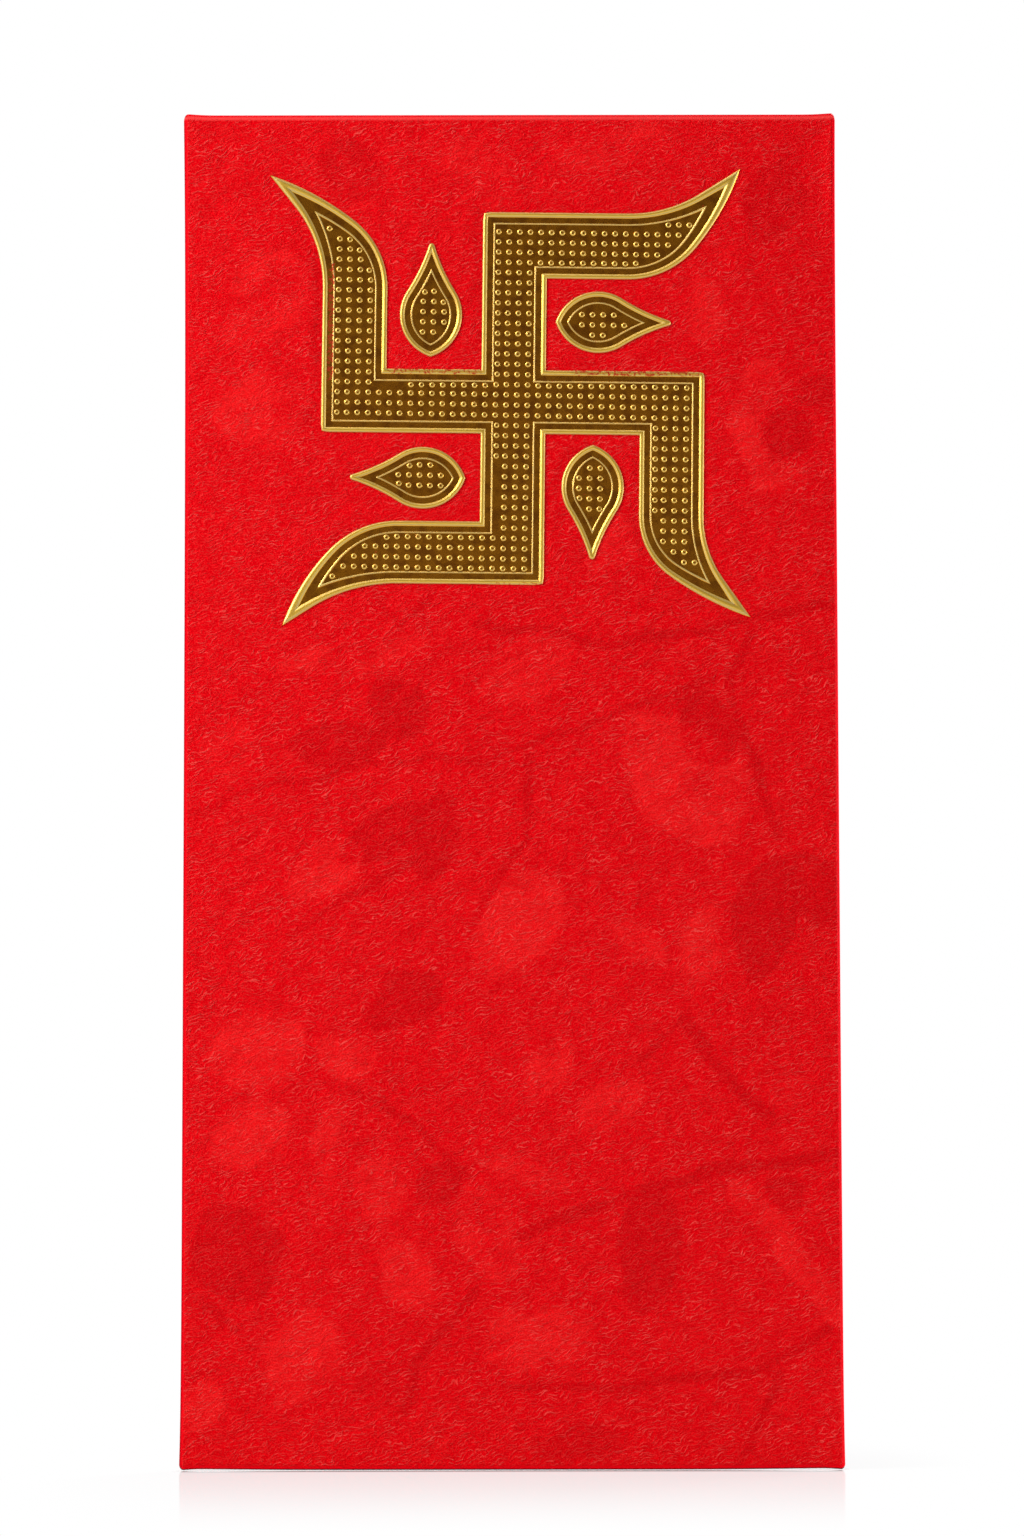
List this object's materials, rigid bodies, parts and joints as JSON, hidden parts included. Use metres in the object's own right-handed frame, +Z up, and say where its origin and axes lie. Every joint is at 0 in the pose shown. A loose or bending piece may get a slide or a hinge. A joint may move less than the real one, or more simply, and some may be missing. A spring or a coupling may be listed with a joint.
{
  "type": "money gift envelope",
  "caption": "Tall flat red paper gift envelope with a tonal leaf print, a raised gold foil swastik with flames on its front, and a folding flap at the back.",
  "frame": {"origin": "middle of the envelope's box at the level of the bottom fold that it stands on", "axes": "+X to the right as seen from the front, +Y from the front to the back, +Z up"},
  "size_m": [0.089, 0.0026, 0.184],
  "materials": {
    "red_paper": "satin",
    "gold_foil": "gloss",
    "dried_glue": "satin"
  },
  "bodies": {
    "envelope": {"front_panel": "red_paper", "back_panel": "red_paper", "left_side_tab": "red_paper", "right_side_tab": "red_paper", "left_crease": "red_paper", "right_crease": "red_paper", "bottom_crease": "red_paper", "top_crease": "red_paper", "left_seam_glue": "dried_glue", "right_seam_glue": "dried_glue", "swastik_foil": "gold_foil", "flame_foil_top": "gold_foil", "flame_foil_right": "gold_foil", "flame_foil_bottom": "gold_foil", "flame_foil_left": "gold_foil"},
    "flap": {"closing_flap": "red_paper", "flap_gum": "dried_glue"}
  },
  "joints": [
    {"name": "flap_hinge", "type": "hinge", "parent": "envelope", "child": "flap", "pos_m": [0, 0.00015, 0.18288], "axis": [1, 0, 0], "range_deg": [0, 180], "deforming": ["top_crease"]}
  ]
}
